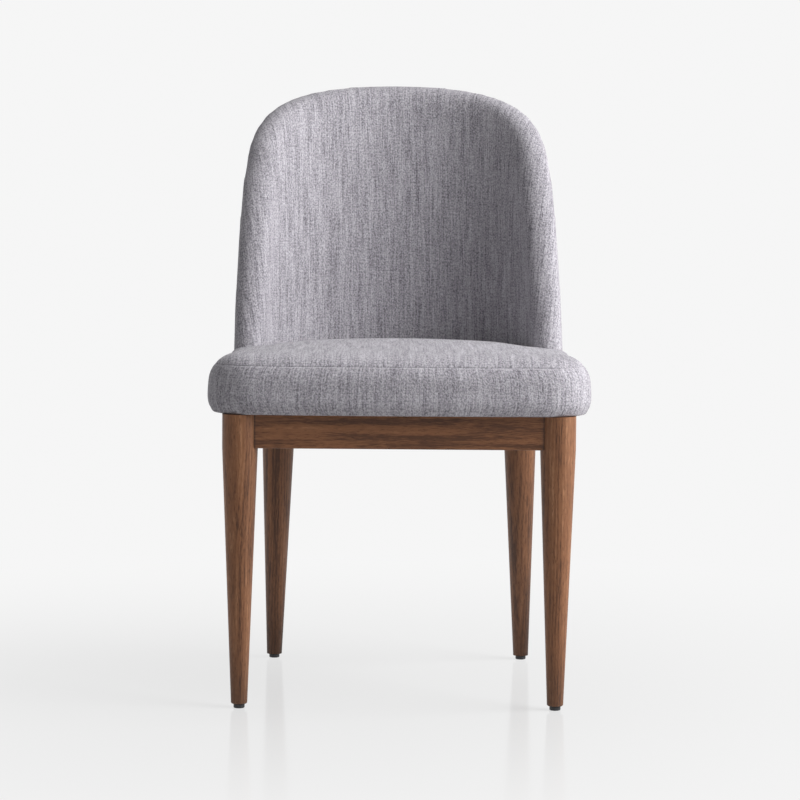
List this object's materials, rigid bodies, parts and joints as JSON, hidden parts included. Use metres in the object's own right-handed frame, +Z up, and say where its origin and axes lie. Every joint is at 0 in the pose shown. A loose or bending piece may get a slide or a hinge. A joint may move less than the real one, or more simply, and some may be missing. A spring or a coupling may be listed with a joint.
{
  "type": "upholstered dining chair",
  "caption": "Dining chair with a curved wrap-round upholstered back, a padded seat with a top seam, and a wooden frame on round tapered legs.",
  "frame": {"origin": "on the floor, under the middle of the chair's bounding box", "axes": "+Z up, the chair faces -Y, +X to the right of someone who looks at its front"},
  "size_m": [0.518, 0.5474, 0.8434],
  "materials": {
    "walnut": "satin",
    "plywood": "raw",
    "block_wood": "raw",
    "foam": "matte",
    "seat_cloth": "matte",
    "back_cloth": "matte",
    "lining": "matte",
    "steel": "zinc plated",
    "nylon": "matte"
  },
  "bodies": {
    "root": {"apron_front": "walnut", "apron_rear": "walnut", "apron_right": "walnut", "apron_left": "walnut", "leg_front_right": "walnut", "foot_glide_front_right": "nylon", "corner_block_front_right": "block_wood", "seat_bolt_front_right": "steel", "bolt_washer_front_right": "steel", "tee_nut_front_right": "steel", "block_screw_front_right_1": "steel", "block_screw_front_right_2": "steel", "leg_rear_right": "walnut", "foot_glide_rear_right": "nylon", "corner_block_rear_right": "block_wood", "seat_bolt_rear_right": "steel", "bolt_washer_rear_right": "steel", "tee_nut_rear_right": "steel", "block_screw_rear_right_1": "steel", "block_screw_rear_right_2": "steel", "leg_front_left": "walnut", "foot_glide_front_left": "nylon", "corner_block_front_left": "block_wood", "seat_bolt_front_left": "steel", "bolt_washer_front_left": "steel", "tee_nut_front_left": "steel", "block_screw_front_left_1": "steel", "block_screw_front_left_2": "steel", "leg_rear_left": "walnut", "foot_glide_rear_left": "nylon", "corner_block_rear_left": "block_wood", "seat_bolt_rear_left": "steel", "bolt_washer_rear_left": "steel", "tee_nut_rear_left": "steel", "block_screw_rear_left_1": "steel", "block_screw_rear_left_2": "steel", "seat_board": "plywood", "seat_foam": "foam", "seat_top_panel": "seat_cloth", "seat_side_band": "seat_cloth", "seat_rear_strip": "seat_cloth", "dust_cover": "lining", "back_shell": "plywood", "back_front_foam": "foam", "back_rear_foam": "foam", "back_front_cover": "back_cloth", "back_rear_cover": "back_cloth", "shell_screw_1": "steel", "shell_screw_2": "steel", "shell_screw_3": "steel", "shell_screw_4": "steel", "shell_screw_5": "steel"}
  },
  "joints": []
}
